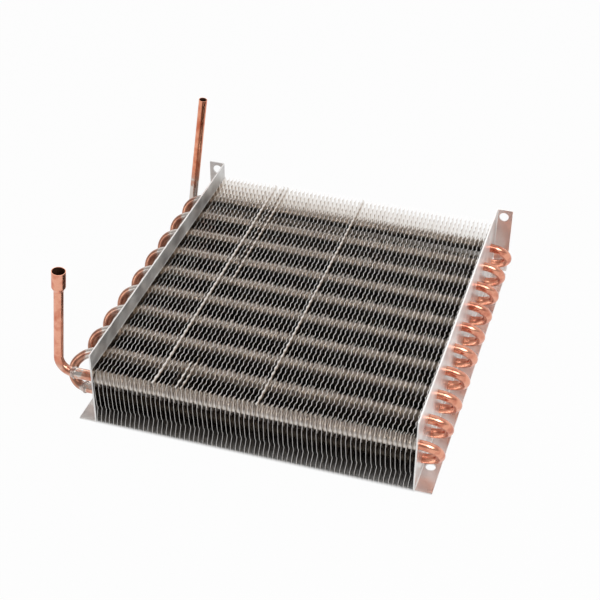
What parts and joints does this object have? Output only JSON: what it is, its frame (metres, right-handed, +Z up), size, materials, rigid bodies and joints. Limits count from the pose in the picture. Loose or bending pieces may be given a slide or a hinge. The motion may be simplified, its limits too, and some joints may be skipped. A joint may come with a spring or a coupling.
{
  "type": "finned condenser coil",
  "caption": "Air-cooled condenser coil: copper tubes in staggered rows run through thin aluminium fins between two bent end plates, with a belled inlet and a plain outlet pipe.",
  "frame": {"origin": "on the underside, midway between the bolt holes of the two feet", "axes": "+X along the tubes, from the side with the return bends and pipes to the side with the hairpin bends; +Y from the near edge to the edge with the bolt tabs; +Z up"},
  "size_m": [0.2598, 0.2546, 0.1131],
  "materials": {
    "plate_aluminium": "mill-finished sheet, smooth and fairly bright",
    "fin_aluminium": "thin bright foil",
    "copper": "bare drawn copper, heat-tinted near the brazed joints"
  },
  "bodies": {
    "root": {"right_end_plate": "plate_aluminium", "left_end_plate": "plate_aluminium", "hairpin_01": "copper", "hairpin_02": "copper", "hairpin_03": "copper", "hairpin_04": "copper", "hairpin_05": "copper", "hairpin_06": "copper", "hairpin_07": "copper", "hairpin_08": "copper", "hairpin_09": "copper", "hairpin_10": "copper", "return_bend_01": "copper", "return_bend_02": "copper", "return_bend_03": "copper", "return_bend_04": "copper", "return_bend_05": "copper", "return_bend_06": "copper", "return_bend_07": "copper", "return_bend_08": "copper", "return_bend_09": "copper", "inlet_pipe": "copper", "outlet_pipe": "copper", "fins_1": "fin_aluminium", "fins_2": "fin_aluminium", "fins_3": "fin_aluminium", "fins_4": "fin_aluminium"}
  },
  "joints": []
}
